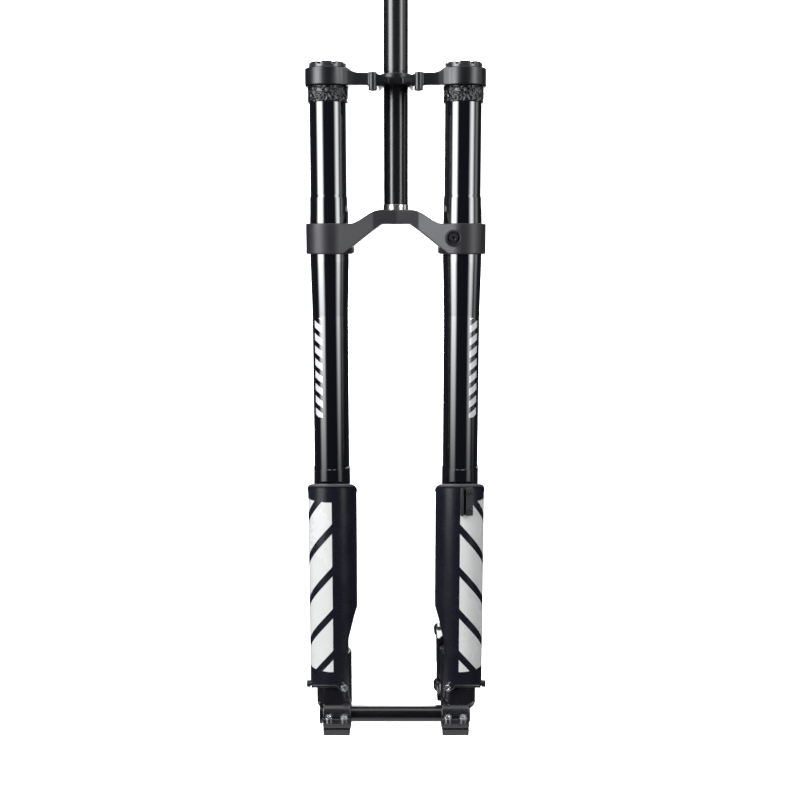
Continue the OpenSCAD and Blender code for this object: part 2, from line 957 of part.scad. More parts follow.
module foot_common() {
    difference() {
        union() {
            foot_socket();
            foot_pad();
            translate([foot_in, axle_y, axle_z])
                along_x() cylinder(h = foot_w, r = barrel_r);
            at_slot()
                translate([foot_in + ear_inset, -ear_reach, -ear_down])
                    cube([foot_w - 2 * ear_inset, ear_reach, ear_up + ear_down]);
            at_guard_bolts(foot_r - 3)
                cylinder(h = guard_in - foot_r + 3 - guard_boss_gap, r = guard_boss_r);
        }
        at_leg() rod(leg_r + press_gap, leg_bottom, foot_top + cut);
        translate([foot_in - cut, axle_y, axle_z])
            along_x() cylinder(h = 2 * foot_r + foot_w, r = axle_r + run_fit);
        at_slot()
            translate([foot_in - cut, -ear_reach - cut, -slot_w / 2])
                cube([2 * foot_r + foot_w, ear_reach + cut, slot_w]);
        translate([axle_end_x - free_gap, axle_y, axle_z])
            along_x() cylinder(h = foot_r, r = axle_head_r + head_room);
        pinch_positions() {
            rod(pinch_d / 2 + screw_fit, -pinch_len - 0.5, cut);
            rod(screw_head_r(pinch_d) + head_room, 0, pocket_h);
        }
        at_guard_bolts(foot_r + 0.5)
            rod(guard_bolt_d / 2 + screw_fit, 0, guard_in);
    }
}

module brake_posts() {
    web = [
        [post_x - 4, post_top_z + 4], [post_x + 4, post_top_z + 4], [leg_x - 6, foot_top - 26],
        [leg_x - 6, post_low_z - 5], [post_x + 7, post_low_z - 5],
        [post_x + 3.5, axle_z + 26], [post_x - 3.5, axle_z + 44]
    ];
    difference() {
        union() {
            translate([0, post_face - 10, 0])
                rotate([90, 0, 0])
                    linear_extrude(height = post_face - 10 - leg_y - 6)
                        polygon(web);
            translate([post_x - 3, post_face - 14, post_low_z])
                cube([4.5, 8, post_pitch]);
            translate([post_x - 3, leg_y + 8, post_low_z - 5])
                cube([leg_x - 6 - post_x, post_face - 8 - leg_y - 8, 10]);
            for (z = [post_top_z, post_low_z])
                translate([post_x, post_face - post_len, z])
                    along_y() cylinder(h = post_len, r = post_r);
        }
        for (z = [post_top_z, post_low_z])
            translate([post_x, post_face - post_hole_depth, z])
                along_y() cylinder(h = post_hole_depth + cut, r = post_hole_d / 2);
        at_leg() {
            rod(leg_r + press_gap, leg_bottom, foot_top + cut);
            rod(collar_r + 1.5, foot_top, foot_top + 40);
        }
        translate([0, axle_y, axle_z])
            along_x() cylinder(h = leg_x, r = axle_r + run_fit + axle_web);
    }
}

module foot_left() {
    color([0.07, 0.07, 0.08])
    union() {
        foot_common();
        brake_posts();
    }
}

module foot_right() {
    color([0.07, 0.07, 0.08])
    difference() {
        foot_common();
        at_leg() {
            rod(rebound_r + free_gap, knob_top, leg_bottom + cut);
            rod(knob_r + free_gap, knob_top - knob_h - 2 * cut, knob_top + free_gap);
        }
    }
}

module axle_pinch_bolts() {
    color("silver")
    both_sides()
        pinch_positions() cap_screw(pinch_d, pinch_len);
}

module axle() {
    color([0.08, 0.08, 0.09])
    difference() {
        union() {
            translate([-axle_end_x, axle_y, axle_z])
                along_x() cylinder(h = 2 * axle_end_x, r = axle_r);
            translate([-axle_end_x - axle_head_h, axle_y, axle_z])
                along_x() cylinder(h = axle_head_h, r = axle_head_r);
        }
        translate([-axle_end_x - axle_head_h - cut, axle_y, axle_z])
            along_x() cylinder(h = 2 * axle_end_x + axle_head_h + 2 * cut, r = axle_r - axle_wall);
        both_sides()
            translate([foot_in - hub_margin, axle_y, axle_z])
                along_x() ring(axle_r + cut, axle_r - hub_groove_depth, 0, hub_groove);
    }
}

// Plan section of a guard about the leg axis: a rounded front with straight sides
module guard_section(r, back) {
    circle(r);
    translate([-r, 0])
        square([2 * r, back]);
}

module guard_shell(r_out, r_in, z0, z1) {
    translate([0, 0, z0])
        linear_extrude(height = z1 - z0)
            difference() {
                guard_section(r_out, guard_back);
                guard_section(r_in, guard_back + cut);
                translate([-r_out - cut, guard_back])
                    square([2 * (r_out + cut), r_out]);
            }
}

// Front outline of a guard: rounded at the top, with its inner side stepped in below
function guard_outline() =
    let (side = guard_r + rim_step + cut, arc_x = side - top_round, arc_z = guard_top - top_round)
    concat(
        [for (a = [0:15:90]) [arc_x + top_round * cos(a), arc_z + (top_round + cut) * sin(a)]],
        [for (a = [90:15:180]) [top_round * cos(a) - arc_x, arc_z + (top_round + cut) * sin(a)]],
        [
            [-side, step_top], [-step_x, step_bottom], [-step_x, guard_bottom], [0, guard_bottom],
            [0, guard_bottom - skirt_drop], [side, guard_bottom - skirt_drop]
        ]
    );

// Side profile of what the sloping edges cut away above and below a guard
module guard_edge_cut() {
    front = guard_r + rim_step + cut;
    back = guard_back + cut;
    translate([-front, 0, 0])
        rotate([90, 0, 90])
            linear_extrude(height = 2 * front)
                polygon([
                    [-front, guard_top], [back, guard_top - top_slope * (back + front)],
                    [back, guard_top + cut], [-front, guard_top + cut]
                ]);
    translate([cut, 0, 0])
        rotate([90, 0, 90])
            linear_extrude(height = front)
                polygon([
                    [-front, guard_bottom + bottom_slope * cut], [skirt_drop / bottom_slope - guard_r, guard_bottom - skirt_drop],
                    [skirt_drop / bottom_slope - guard_r, guard_bottom - skirt_drop - cut],
                    [-front, guard_bottom - skirt_drop - cut]
                ]);
}

// The tabs that reach down from the guard around its bolts
module guard_tabs() {
    intersection() {
        at_leg() guard_shell(guard_r, guard_in, guard_bottom - 3 * guard_tab_r, guard_bottom + 2 * guard_tab_r);
        union() {
            at_guard_bolts(0) cylinder(h = 2 * guard_r, r = guard_tab_r);
            for (place = guard_bolt_places)
                at_leg()
                    rotate([0, 0, place[0]])
                        translate([0, 0.05 - guard_tab_r, guard_bottom + place[1]])
                            cube([2 * guard_r, 2 * guard_tab_r - 0.1, 4 - place[1]]);
        }
    }
}

module leg_guard() {
    color([0.05, 0.05, 0.07])
    difference() {
        union() {
            at_leg()
                intersection() {
                    union() {
                        guard_shell(guard_r, guard_in, guard_bottom - skirt_drop, guard_top);
                        guard_shell(guard_r + rim_step, guard_in, guard_top - rim_h, guard_top);
                    }
                    translate([0, 2 * guard_r, 0])
                        rotate([90, 0, 0])
                            linear_extrude(height = 4 * guard_r)
                                polygon(guard_outline());
                }
            guard_tabs();
        }
        at_leg() guard_edge_cut();
        at_guard_bolts(guard_in - cut)
            cylinder(h = guard_wall + 3 * cut, r = guard_bolt_d / 2 + screw_fit);
    }
}

module guard_bolts() {
    color("silver")
    both_sides()
        at_guard_bolts(guard_r + guard_head_gap)
            cap_screw(guard_bolt_d, guard_r - foot_r - 1);
}

module at_hose_clip() {
    at_leg()
        rotate([0, 0, clip_angle])
            translate([0, 0, hose_clip_z])
                children();
}

clip_screw_heights = [6, hose_clip_h - 6];
clip_screw_y = hose_clip_w / 2 - 3.2;

module hose_clip() {
    color([0.08, 0.08, 0.09])
    difference() {
        at_hose_clip()
            translate([guard_r - 2, -hose_clip_w / 2, 0])
                cube([hose_clip_t + 2, hose_clip_w, hose_clip_h]);
        at_leg() rod(guard_r + rim_step + press_gap, guard_bottom, guard_top);
        at_hose_clip()
            translate([guard_r + hose_clip_t - hose_r + 0.6, -2.6, -cut])
                cylinder(h = hose_clip_h + 2 * cut, r = hose_r);
        at_hose_clip()
            for (z = clip_screw_heights)
                translate([guard_r - 3, clip_screw_y, z])
                    along_x() cylinder(h = hose_clip_t + 5, r = clip_screw_d / 2 + screw_fit);
    }
}

module hose_clip_screws() {
    color("silver")
    at_hose_clip()
        for (z = clip_screw_heights)
            translate([guard_r + hose_clip_t, clip_screw_y, z])
                along_x() cap_screw(clip_screw_d, hose_clip_t - 2);
}

steerer_tube();
lower_crown();
lower_crown_bolts();
hose_guide_screw();
on_left() outer_tube();  // outer_tube_left
on_right() outer_tube();  // outer_tube_right
on_left() frame_bumper();  // frame_bumper_left
on_right() frame_bumper();  // frame_bumper_right
on_left() bushing(upper_bush_z);  // upper_bushing_left
on_right() bushing(upper_bush_z);  // upper_bushing_right
on_left() bushing(lower_bush_z);  // lower_bushing_left
on_right() bushing(lower_bush_z);  // lower_bushing_right
on_left() oil_seal();  // oil_seal_left
on_right() oil_seal();  // oil_seal_right
on_left() seal_clip();  // seal_clip_left
on_right() seal_clip();  // seal_clip_right
on_left() dust_wiper();  // dust_wiper_left
on_right() dust_wiper();  // dust_wiper_right
on_left() air_top_cap();
on_left() air_valve();
on_left() air_rod();
on_left() air_piston();
on_left() air_piston_seal();
on_left() bottom_out_bumper();
on_right() damper_top_cap();
on_right() damper_tube();
on_right() compression_valve();
on_right() damper_seal_head();
upper_crown();
upper_crown_bolts();
on_left() valve_cap();
on_right() low_speed_dial();
on_right() high_speed_dial();
on_left() inner_leg();  // inner_leg_left
on_right() inner_leg();  // inner_leg_right
on_left() leg_plug_left();
on_right() leg_plug_right();
on_left() foot_left();
on_right() foot_right();
axle_pinch_bolts();
on_left() leg_guard();  // leg_guard_left
on_right() leg_guard();  // leg_guard_right
guard_bolts();
on_left() hose_clip();
on_left() hose_clip_screws();
on_left() air_seal_head();
on_left() air_top_out_bumper();
on_right() damper_rod();
on_right() damper_piston();
on_right() damper_piston_ring();
on_right() rebound_bumper();
on_right() rebound_rod();
axle();
on_right() rebound_knob();
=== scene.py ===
# %% [markdown]
# # A downhill fork: from bare frame to finished looks
# The frame brings every piece at its real size: tubes, crowns, feet, guards and bolts. This lesson gives
# them their looks. It sets up a small white studio, builds a few shared effects, finishes the materials
# one by one, and models the pieces whose real surface is softer or rougher than a machined shape.

# %% Load the frame
import math

import bpy
from mathutils import Euler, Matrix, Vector, noise


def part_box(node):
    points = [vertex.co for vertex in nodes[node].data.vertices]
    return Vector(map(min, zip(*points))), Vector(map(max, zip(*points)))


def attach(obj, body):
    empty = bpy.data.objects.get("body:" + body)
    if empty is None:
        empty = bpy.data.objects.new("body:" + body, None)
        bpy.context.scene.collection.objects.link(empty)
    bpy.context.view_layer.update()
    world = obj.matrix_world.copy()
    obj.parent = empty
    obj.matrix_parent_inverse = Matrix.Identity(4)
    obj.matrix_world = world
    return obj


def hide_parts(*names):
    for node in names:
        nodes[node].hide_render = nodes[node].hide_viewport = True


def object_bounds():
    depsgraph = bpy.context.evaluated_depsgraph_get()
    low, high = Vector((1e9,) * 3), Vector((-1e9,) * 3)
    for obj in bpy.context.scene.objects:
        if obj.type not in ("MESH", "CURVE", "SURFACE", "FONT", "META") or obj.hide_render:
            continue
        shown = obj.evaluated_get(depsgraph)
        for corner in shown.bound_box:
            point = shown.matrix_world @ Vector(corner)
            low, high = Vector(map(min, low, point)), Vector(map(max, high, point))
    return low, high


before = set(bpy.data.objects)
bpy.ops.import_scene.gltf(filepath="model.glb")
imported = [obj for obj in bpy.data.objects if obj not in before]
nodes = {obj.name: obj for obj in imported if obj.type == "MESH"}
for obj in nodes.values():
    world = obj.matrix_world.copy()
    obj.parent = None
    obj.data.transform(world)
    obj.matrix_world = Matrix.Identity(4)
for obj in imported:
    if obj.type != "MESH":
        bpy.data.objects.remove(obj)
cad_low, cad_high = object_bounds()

scene = bpy.context.scene
print("pieces in the frame:", len(nodes))
print("overall size in mm:", [round(1000 * (h - l)) for l, h in zip(cad_low, cad_high)])

# %% [markdown]
# ## Places to measure from
# A piece that is modelled here has to sit exactly where the frame puts it. The frame tells the lowest and
# highest corner of each piece, so the leg axis, the guard's top and the rest are read from it.

# %% Measure the frame
MM = 0.001


def middle(node):
    low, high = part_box(node)
    return (Vector(low) + Vector(high)) / 2


leg_x, leg_y, _ = middle("outer_tube_left")
guard_low, guard_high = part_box("leg_guard_left")
bumper_low, bumper_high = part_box("frame_bumper_left")
print("leg axes at x = +/-", round(leg_x / MM, 1), "mm, y =", round(leg_y / MM, 1), "mm")
print("guard from z =", round(guard_low[2] / MM, 1), "to", round(guard_high[2] / MM, 1), "mm")

# %% [markdown]
# ## The camera
# The fork is seen from the front, from a little over a metre away and level with the lower crown, with the
# camera tipped down. A 45 mm lens on a full-frame sensor keeps the legs nearly parallel.

# %% Set up the camera
CAMERA_DISTANCE = 1.161
CAMERA_HEIGHT = -0.0319
CAMERA_SIDE = 0.0047
CAMERA_TILT = 9.2

camera_data = bpy.data.cameras.new("studio_camera")
camera_data.lens = 45
camera_data.sensor_width = 36
camera_data.clip_end = 50
camera = bpy.data.objects.new("studio_camera", camera_data)
camera.location = (CAMERA_SIDE, leg_y - CAMERA_DISTANCE, CAMERA_HEIGHT)
camera.rotation_euler = Euler((math.radians(90 - CAMERA_TILT), 0, 0))
scene.collection.objects.link(camera)
scene.camera = camera
print("camera at", [round(c, 3) for c in camera.location])

# %% [markdown]
# ## The studio
# A white sweep stands behind and under the fork, and glows so that it reads as clean paper. Black gloss
# shows only what it reflects. A bright room would fog the paint, so the sweep is kept out of reflections,
# and the paint sees a dark room instead, with tall light panels beside the fork and behind it.

# %% Short ways to make meshes and stage materials


def make_mesh(name, verts, faces, smooth=False):
    mesh = bpy.data.meshes.new(name)
    mesh.from_pydata(verts, [], faces)
    mesh.update()
    mesh.shade_smooth() if smooth else mesh.shade_flat()
    obj = bpy.data.objects.new(name, mesh)
    scene.collection.objects.link(obj)
    return obj


def plug(tree, socket, value):
    """Links a socket to another node's output, or sets its value."""
    if isinstance(value, bpy.types.NodeSocket):
        tree.links.new(value, socket)
    else:
        socket.default_value = value


def add_node(tree, kind, settings=None, **inputs):
    made = tree.nodes.new(kind)
    for name, value in (settings or {}).items():
        setattr(made, name, value)
    for name, value in inputs.items():
        plug(tree, made.inputs[name.replace("_", " ")], value)
    return made


def math_node(tree, operation, a, b=0.0, c=0.0, clamp=False):
    made = tree.nodes.new("ShaderNodeMath")
    made.operation = operation
    made.use_clamp = clamp
    for socket, value in zip(made.inputs, (a, b, c)):
        plug(tree, socket, value)
    return made.outputs[0]


def smooth_range(tree, value, start, end):
    """0 before start and 1 after end, with a smooth turn between them."""
    made = add_node(tree, "ShaderNodeMapRange", {"interpolation_type": "SMOOTHSTEP"}, Value=value)
    made.inputs["From Min"].default_value = start
    made.inputs["From Max"].default_value = end
    return made.outputs["Result"]


def glowing(name, shade, strength, roughness=0.5):
    """A plain grey stage material that also gives off white light."""
    made = bpy.data.materials.new(name)
    made.use_nodes = True
    shader = made.node_tree.nodes["Principled BSDF"]
    shader.inputs["Base Color"].default_value = (shade, shade, shade, 1)
    shader.inputs["Roughness"].default_value = roughness
    shader.inputs["Emission Color"].default_value = (1, 1, 1, 1)
    shader.inputs["Emission Strength"].default_value = strength
    return made


# %% Build the sweep
FLOOR_Z = cad_low[2] - 0.12
SWEEP_FRONT, SWEEP_BACK = -2.6, 2.6
SWEEP_HALF_WIDTH = 3.2
SWEEP_HEIGHT = 3.4
SWEEP_RADIUS = 1.0
CURVE_STEPS = 12
curve_start = SWEEP_BACK - SWEEP_RADIUS
profile = [(SWEEP_FRONT, FLOOR_Z), (curve_start, FLOOR_Z)]
for step in range(1, CURVE_STEPS + 1):
    a = math.radians(90 * step / CURVE_STEPS)
    profile.append((curve_start + SWEEP_RADIUS * math.sin(a), FLOOR_Z + SWEEP_RADIUS * (1 - math.cos(a))))
profile.append((SWEEP_BACK, FLOOR_Z + SWEEP_HEIGHT))

paper_points = [(x, y, z) for y, z in profile for x in (-SWEEP_HALF_WIDTH, SWEEP_HALF_WIDTH)]
paper_strips = [(2 * i, 2 * i + 1, 2 * i + 3, 2 * i + 2) for i in range(len(profile) - 1)]
sweep = make_mesh("paper_sweep", paper_points, paper_strips, smooth=True)
sweep.visible_glossy = False
sweep.visible_diffuse = False
sweep.visible_shadow = False
sweep.data.materials.append(glowing("white_paper", 0.9, 0.95, roughness=0.9))
print("floor at z =", round(FLOOR_Z, 3))

# %% Light panels whose glow fades towards their sides and their foot
PANEL_TOP, PANEL_BOTTOM = 1.6, -0.95
COOL_WHITE = (0.96, 0.98, 1.0)


def light_panel(name, angle, distance, width, strength, fade_from, soft, color=(1, 1, 1)):
    """An upright panel at an angle to the left (-) or right (+) of the camera, facing the fork."""
    a = math.radians(angle)
    corners = [(-width / 2, 0, PANEL_BOTTOM), (width / 2, 0, PANEL_BOTTOM),
               (width / 2, 0, PANEL_TOP), (-width / 2, 0, PANEL_TOP)]
    panel = make_mesh(name, corners, [(0, 1, 2, 3)])
    panel.location = (distance * math.sin(a), leg_y - distance * math.cos(a), 0)
    panel.rotation_euler = Euler((0, 0, a + math.pi))
    glow = bpy.data.materials.new(name)
    glow.use_nodes = True
    tree = glow.node_tree
    tree.nodes.clear()
    spot = add_node(tree, "ShaderNodeTexCoord").outputs["Object"]
    place = add_node(tree, "ShaderNodeSeparateXYZ", Vector=spot)
    above_foot = math_node(tree, "SUBTRACT", place.outputs["Z"], PANEL_BOTTOM)
    rise = math_node(tree, "DIVIDE", above_foot, fade_from - PANEL_BOTTOM, clamp=True)
    tall = math_node(tree, "MULTIPLY", rise, rise)
    side = math_node(tree, "SUBTRACT", width / 2, math_node(tree, "ABSOLUTE", place.outputs["X"]))
    wide = smooth_range(tree, side, 0.0, soft * width)
    level = math_node(tree, "MULTIPLY", math_node(tree, "MULTIPLY", tall, wide), strength)
    emission = add_node(tree, "ShaderNodeEmission", Color=(*color, 1), Strength=level)
    out = tree.nodes.new("ShaderNodeOutputMaterial")
    tree.links.new(emission.outputs[0], out.inputs["Surface"])
    panel.data.materials.append(glow)
    panel.visible_camera = False
    panel.visible_shadow = False


light_panel("left_panel", -53, 1.5, 1.42, strength=15, fade_from=-0.12, soft=0.36, color=COOL_WHITE)
light_panel("right_panel", 54, 1.5, 1.15, strength=10, fade_from=-0.12, soft=0.5, color=COOL_WHITE)
light_panel("right_fill_panel", 86, 1.6, 1.1, strength=1.4, fade_from=-0.12, soft=0.45)
light_panel("back_panel", 180, 1.7, 0.62, strength=9, fade_from=-0.4, soft=0.4)

# %% A faint sheet of light under the fork, which lifts the undersides
UNDER_HALF_WIDTH = 0.3
UNDER_FRONT, UNDER_BACK = -0.2, 0.14
UNDER_GLOW = 1.1
under = make_mesh("under_panel", [(-UNDER_HALF_WIDTH, UNDER_FRONT, 0), (UNDER_HALF_WIDTH, UNDER_FRONT, 0),
                                  (UNDER_HALF_WIDTH, UNDER_BACK, 0), (-UNDER_HALF_WIDTH, UNDER_BACK, 0)],
                  [(0, 1, 2, 3)])
under.location = (0, leg_y, FLOOR_Z + 0.004)
under.data.materials.append(glowing("under_panel", 0, UNDER_GLOW))
under.visible_camera = False
under.visible_shadow = False
print("under panel at z =", round(under.location.z, 3))

# %% Soft lights from above and behind, and a dark room around


def soft_light(name, location, size, power, aim):
    light = bpy.data.lights.new(name, "AREA")
    light.shape = "SQUARE"
    light.size = size
    light.energy = power
    obj = bpy.data.objects.new(name, light)
    obj.location = location
    obj.rotation_euler = (Vector(aim) - Vector(location)).to_track_quat("-Z", "Y").to_euler()
    scene.collection.objects.link(obj)


soft_light("top_light", (0, leg_y - 0.5, 1.5), 1.2, 11, (0, leg_y, 0))
soft_light("back_light", (0.5, 1.6, 0.7), 1.4, 16, (0, leg_y, -0.2))

DARK_ROOM = (0.032, 0.034, 0.042, 1)
WHITE = (1, 1, 1, 1)
world = bpy.data.worlds.new("studio_room")
world.use_nodes = True
scene.world = world
room = world.node_tree
ray = add_node(room, "ShaderNodeLightPath")
room_color = add_node(room, "ShaderNodeMix", {"data_type": "RGBA"})
room_color.inputs["A"].default_value = DARK_ROOM
room_color.inputs["B"].default_value = WHITE
room.links.new(ray.outputs["Is Camera Ray"], room_color.inputs["Factor"])
room.links.new(room_color.outputs["Result"], room.nodes["Background"].inputs["Color"])
scene.view_settings.view_transform = "Standard"
scene.view_settings.look = "None"

# %% [markdown]
# ## Shared effects
# Fine grain, handling marks, worn edges and turning marks turn up on many parts. Each is a small node group
# with its own inputs, so that a material places the group and chooses how strong the effect is.

# %% A helper for building node groups


class Group:
    """A shader node group under construction."""

    def __init__(self, name):
        self.tree = bpy.data.node_groups.new(name, "ShaderNodeTree")
        self.inside = self.tree.nodes.new("NodeGroupInput")
        self.out = self.tree.nodes.new("NodeGroupOutput")
        self.place = self.add("ShaderNodeTexCoord").outputs["Object"]

    def value_in(self, name, default):
        socket = self.tree.interface.new_socket(name=name, in_out="INPUT", socket_type="NodeSocketFloat")
        socket.default_value = default
        return self.inside.outputs[name]

    def output(self, name, source, kind="NodeSocketFloat"):
        self.tree.interface.new_socket(name=name, in_out="OUTPUT", socket_type=kind)
        self.tree.links.new(source, self.out.inputs[name])

    def add(self, kind, settings=None, **inputs):
        return add_node(self.tree, kind, settings, **inputs)

    def math(self, operation, a, b=0.0, c=0.0, clamp=False):
        return math_node(self.tree, operation, a, b, c, clamp)

    def range(self, value, start, end):
        return smooth_range(self.tree, value, start, end)


# %% Fine grain: the tooth of blasted metal, moulded plastic and rubber
grain = Group("fine_grain")
grain_scale = grain.value_in("Scale", 900.0)
fine = grain.add("ShaderNodeTexNoise", Vector=grain.place, Scale=grain_scale, Detail=3.0, Roughness=0.6)
cells = grain.add("ShaderNodeTexVoronoi", Vector=grain.place, Scale=grain_scale)
grain.output("Height", grain.math("MULTIPLY_ADD", cells.outputs["Distance"], 0.45, fine.outputs["Fac"]))
grain_group = grain.tree
print("group:", grain_group.name)

# %% Handling marks: broad smudges and fine hairlines that change the gloss
marks = Group("handling_marks")
clean = marks.value_in("Clean", 0.05)
smudged = marks.value_in("Smudged", 0.15)
marks_scale = marks.value_in("Scale", 14.0)
smudge = marks.add("ShaderNodeTexNoise", Vector=marks.place, Scale=marks_scale, Detail=6.0, Roughness=0.65)
soft = marks.range(smudge.outputs["Fac"], 0.42, 0.7)
stretched = marks.add("ShaderNodeMapping", Vector=marks.place)
stretched.inputs["Scale"].default_value = (60, 60, 2200)
hair = marks.add("ShaderNodeTexNoise", Vector=stretched.outputs["Vector"], Scale=1.0, Detail=2.0)
hairline = marks.range(hair.outputs["Fac"], 0.62, 0.8)
amount = marks.math("MULTIPLY_ADD", hairline, 0.35, soft)
marks.output("Roughness", marks.math("MULTIPLY_ADD", amount, marks.math("SUBTRACT", smudged, clean), clean))
marks_group = marks.tree
print("group:", marks_group.name)

# %% Edge wear: a mask that is bright where two faces meet, and the rounded normal that goes with it
edges = Group("edge_wear")
edge_radius = edges.value_in("Radius", 0.0008)
edge_reach = edges.value_in("Reach", 0.25)
rounded = edges.add("ShaderNodeBevel", {"samples": 4}, Radius=edge_radius).outputs["Normal"]
facing = edges.add("ShaderNodeVectorMath", {"operation": "DOT_PRODUCT"})
plug(edges.tree, facing.inputs[0], rounded)
plug(edges.tree, facing.inputs[1], edges.add("ShaderNodeNewGeometry").outputs["Normal"])
bend = edges.math("SUBTRACT", 1.0, facing.outputs["Value"])
patches = edges.add("ShaderNodeTexNoise", Vector=edges.place, Scale=260.0, Detail=4.0)
patchy_bend = edges.math("MULTIPLY", bend, patches.outputs["Fac"])
edges.output("Mask", edges.math("DIVIDE", patchy_bend, edge_reach, clamp=True))
edges.output("Normal", rounded, "NodeSocketVector")
edge_group = edges.tree
print("group:", edge_group.name)

# %% Turning marks: the fine rings that a lathe leaves around an upright axis
turning = Group("turning_marks")
pitch = turning.value_in("Pitch", 3500.0)
height = turning.add("ShaderNodeSeparateXYZ", Vector=turning.place).outputs["Z"]
uneven = turning.add("ShaderNodeTexNoise", Vector=turning.place, Scale=90.0, Detail=3.0)
rings = turning.math("SINE", turning.math("MULTIPLY", height, pitch))
turning.output("Height", turning.math("MULTIPLY", rings, uneven.outputs["Fac"]))
turning_group = turning.tree
print("group:", turning_group.name)

# %% Dust: pale specks and a thin film that gathers on what faces up
dust = Group("settled_dust")
dust_amount = dust.value_in("Amount", 0.3)
surface = dust.add("ShaderNodeNewGeometry").outputs["Normal"]
facing_up = dust.add("ShaderNodeSeparateXYZ", Vector=surface).outputs["Z"]
film = dust.add("ShaderNodeTexNoise", Vector=dust.place, Scale=120.0, Detail=5.0)
specks = dust.add("ShaderNodeTexVoronoi", Vector=dust.place, Scale=700.0)
speck = dust.math("SUBTRACT", 1.0, dust.range(specks.outputs["Distance"], 0.03, 0.11))
settled = dust.math("MULTIPLY", dust.range(facing_up, 0.1, 0.9), film.outputs["Fac"])
speckled = dust.math("MULTIPLY_ADD", speck, 0.25, settled)
dust.output("Mask", dust.math("MULTIPLY", speckled, dust_amount, clamp=True))
dust_group = dust.tree
print("group:", dust_group.name)

# %% Leg place: where a point lies on its leg, seen from the leg's own axis
leg_place = Group("leg_place")
spot = leg_place.add("ShaderNodeSeparateXYZ", Vector=leg_place.place)
outward = leg_place.math("SUBTRACT", leg_place.math("ABSOLUTE", spot.outputs["X"]), leg_x)
forward = leg_place.math("SUBTRACT", leg_y, spot.outputs["Y"])
leg_place.output("Outward", outward)
leg_place.output("Forward", forward)
leg_place.output("Angle", leg_place.math("ARCTAN2", outward, forward))
leg_place.output("Height", spot.outputs["Z"])
leg_place_group = leg_place.tree
print("group:", leg_place_group.name)

# %% [markdown]
# ## A workshop for materials
# Every finish starts the same way: a Principled shader, rounded edges, gloss that varies with handling, and
# a trace of dust. The class below builds that base, and each material then adds what is special to it.

# %% The base that every finish starts from
DUST_SHADE = 0.03


class Finish:
    """One material: its Principled shader and short ways to add to it."""

    def __init__(self, name, color, metallic, clean, smudged, edge=0.6 * MM, worn=None, dust=0.12):
        self.material = bpy.data.materials.new(name)
        self.material.use_nodes = True
        self.tree = self.material.node_tree
        self.shader = self.tree.nodes["Principled BSDF"]
        self.set("Metallic", metallic)
        self.roughness = self.group(marks_group, Clean=clean, Smudged=smudged).outputs["Roughness"]
        self.link(self.roughness, "Roughness")
        rounded_edges = self.group(edge_group, Radius=edge)
        self.normal = rounded_edges.outputs["Normal"]
        self.link(self.normal, "Normal")
        self.color = color
        if worn:
            self.mix_color(rounded_edges.outputs["Mask"], worn)
        dusty = tuple(c + DUST_SHADE for c in color)
        self.mix_color(self.group(dust_group, Amount=dust).outputs["Mask"], dusty)

    def set(self, socket, value):
        self.shader.inputs[socket].default_value = value

    def link(self, source, socket):
        self.tree.links.new(source, self.shader.inputs[socket])

    def group(self, tree, **inputs):
        placed = self.tree.nodes.new("ShaderNodeGroup")
        placed.node_tree = tree
        for name, value in inputs.items():
            plug(self.tree, placed.inputs[name.replace("_", " ")], value)
        return placed

    def add(self, kind, settings=None, **inputs):
        return add_node(self.tree, kind, settings, **inputs)

    def math(self, operation, a, b=0.0, c=0.0, clamp=False):
        return math_node(self.tree, operation, a, b, c, clamp)

    def range(self, value, start, end):
        return smooth_range(self.tree, value, start, end)

    def before(self, value, start, end):
        """1 before start and 0 after end."""
        return self.math("SUBTRACT", 1.0, self.range(value, start, end))

    def between(self, value, low, high, blur):
        """1 from low to high and 0 outside, with an edge inside each limit that is as wide as blur."""
        return self.product(self.range(value, low, low + blur), self.before(value, high - blur, high))

    def product(self, first, *others):
        for other in others:
            first = self.math("MULTIPLY", first, other)
        return first

    def bump(self, height, strength, distance):
        """Raises the surface by a height, on top of what is there."""
        bump = self.add("ShaderNodeBump", Height=height, Strength=strength, Distance=distance)
        plug(self.tree, bump.inputs["Normal"], self.normal)
        self.normal = bump.outputs["Normal"]
        self.link(self.normal, "Normal")

    def grain(self, scale, strength, distance):
        self.bump(self.group(grain_group, Scale=scale).outputs["Height"], strength, distance)

    def mix_color(self, factor, above):
        """Keeps the colour where the factor is 0 and changes it to another where it is 1."""
        mix = self.add("ShaderNodeMix", {"data_type": "RGBA"})
        plug(self.tree, mix.inputs["Factor"], factor)
        for socket, value in ((mix.inputs["A"], self.color), (mix.inputs["B"], above)):
            plug(self.tree, socket, (*value, 1) if isinstance(value, tuple) else value)
        self.color = mix.outputs["Result"]
        self.link(self.color, "Base Color")

    def mix_value(self, socket, factor, below, above):
        """A shader value that is below where the factor is 0 and above where it is 1."""
        mix = self.add("ShaderNodeMix", {"data_type": "FLOAT"})
        for name, value in (("Factor", factor), ("A", below), ("B", above)):
            plug(self.tree, mix.inputs[name], value)
        self.link(mix.outputs["Result"], socket)


def wear(finish, *names):
    """Gives a finish to some of the frame's pieces."""
    for name in names:
        mesh = nodes[name].data
        mesh.materials.clear()
        mesh.materials.append(finish.material)
    print(finish.material.name, "->", ", ".join(names))


# %% [markdown]
# ## The outer tubes
# The tubes are aluminium with a deep black gloss finish, and the light stripes that run down them are their
# whole look. A clear coat over a nearly black base gives hard reflections, and a faint ripple keeps the
# stripes alive. A column of slanted bars decorates the outer side of each tube.

